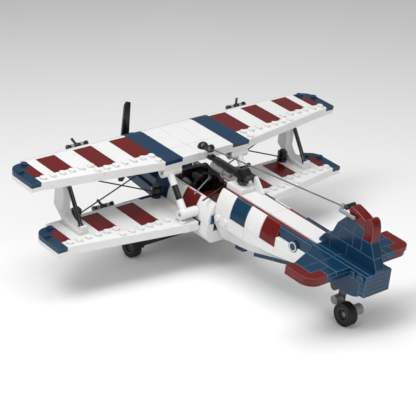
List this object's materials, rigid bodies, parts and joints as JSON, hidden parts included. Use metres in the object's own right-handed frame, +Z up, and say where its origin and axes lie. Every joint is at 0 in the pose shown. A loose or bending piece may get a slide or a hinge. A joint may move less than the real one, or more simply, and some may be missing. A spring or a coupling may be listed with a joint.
{
  "type": "model biplane",
  "caption": "Display model of a biplane built from studded bricks, with a turning propeller, rolling wheels and a swivelling twin gun",
  "frame": {"origin": "middle of the model's outline seen from above, on the surface the three tyres stand on", "axes": "+X towards the port wing tip, +Y towards the tail, +Z up"},
  "size_m": [0.2878, 0.2856, 0.1],
  "materials": {
    "white_plastic": "glossy moulded",
    "red_plastic": "glossy moulded",
    "blue_plastic": "glossy moulded",
    "black_plastic": "glossy moulded",
    "grey_plastic": "glossy moulded",
    "grey_wire": "smooth cord",
    "brown_plastic": "glossy moulded",
    "tyre": "matt rubber"
  },
  "bodies": {
    "airframe": {"backstay_fittings": "black_plastic", "backstay_wire": "grey_wire", "belly_shells": "white_plastic", "bracing_wires": "grey_wire", "cabane_axles": "black_plastic", "cabane_struts": "white_plastic", "cockpit_levers": "black_plastic", "cockpit_lining": "brown_plastic", "cockpit_walls": "white_plastic", "cowl_core": "blue_plastic", "cowl_face": "blue_plastic", "cowl_sides": "blue_plastic", "diagonal_bars": "black_plastic", "dial_barrels": "grey_plastic", "edge_clip_bars": "black_plastic", "edge_clip_ends": "grey_plastic", "fin": "blue_plastic", "fin_lever": "grey_plastic", "front_belly": "white_plastic", "gun_foot": "grey_plastic", "instrument_panel": "black_plastic", "interplane_struts": "white_plastic", "keel_plates": "blue_plastic", "lower_wing_base_plates": "white_plastic", "lower_wing_blue_tiles": "blue_plastic", "lower_wing_leading_edge": "white_plastic", "lower_wing_red_tiles": "red_plastic", "lower_wing_white_tiles": "white_plastic", "main_gear_frame": "black_plastic", "round_side_tiles": "blue_plastic", "rudder": "red_plastic", "seat": "red_plastic", "side_panels_blue": "blue_plastic", "side_panels_red": "red_plastic", "side_panels_white": "white_plastic", "spine_core": "white_plastic", "spine_tiles": "white_plastic", "stabiliser_tips": "red_plastic", "stabilisers": "blue_plastic", "tail_arm": "grey_plastic", "tail_block": "blue_plastic", "tail_bracket": "black_plastic", "upper_wing_base_plates": "white_plastic", "upper_wing_blue_tiles": "blue_plastic", "upper_wing_leading_edge": "white_plastic", "upper_wing_red_tiles": "red_plastic", "upper_wing_white_tiles": "white_plastic", "wire_knobs": "black_plastic"},
    "propeller": {"propeller_blades": "black_plastic", "propeller_hub": "black_plastic"},
    "port_wheel": {"tyre_port": "tyre", "wheel_hub_port": "black_plastic"},
    "starboard_wheel": {"tyre_starboard": "tyre", "wheel_hub_starboard": "black_plastic"},
    "tail_wheel": {"tyre_tail": "tyre", "wheel_hub_tail": "black_plastic"},
    "gun_mount": {"gun_head": "black_plastic"},
    "gun": {"gun_barrels": "black_plastic", "gun_drum": "grey_plastic"},
    "stick": {"control_stick": "black_plastic"}
  },
  "joints": [
    {"name": "propeller_spin", "type": "hinge", "parent": "airframe", "child": "propeller", "pos_m": [0, -0.13497, 0.065], "axis": [0, 0.9885, -0.1512], "continuous": true},
    {"name": "port_wheel_roll", "type": "hinge", "parent": "airframe", "child": "port_wheel", "pos_m": [0.043, -0.0718, 0.0084], "axis": [1, 0, 0], "continuous": true},
    {"name": "starboard_wheel_roll", "type": "hinge", "parent": "airframe", "child": "starboard_wheel", "pos_m": [-0.043, -0.0718, 0.0084], "axis": [1, 0, 0], "continuous": true},
    {"name": "tail_wheel_roll", "type": "hinge", "parent": "airframe", "child": "tail_wheel", "pos_m": [0.0048, 0.11737, 0.0084], "axis": [1, 0, 0], "continuous": true},
    {"name": "gun_turn", "type": "hinge", "parent": "airframe", "child": "gun_mount", "pos_m": [0, 0.00556, 0.07102], "axis": [0, 0.1512, 0.9885], "range_deg": [-60, 60]},
    {"name": "gun_tip", "type": "hinge", "parent": "gun_mount", "child": "gun", "pos_m": [0, 0.00623, 0.07545], "axis": [1, 0, 0], "range_deg": [-2, 4]},
    {"name": "stick_tilt", "type": "hinge", "parent": "airframe", "child": "stick", "pos_m": [0, -0.04189, 0.04656], "axis": [1, 0, 0], "range_deg": [-15, 15]}
  ]
}
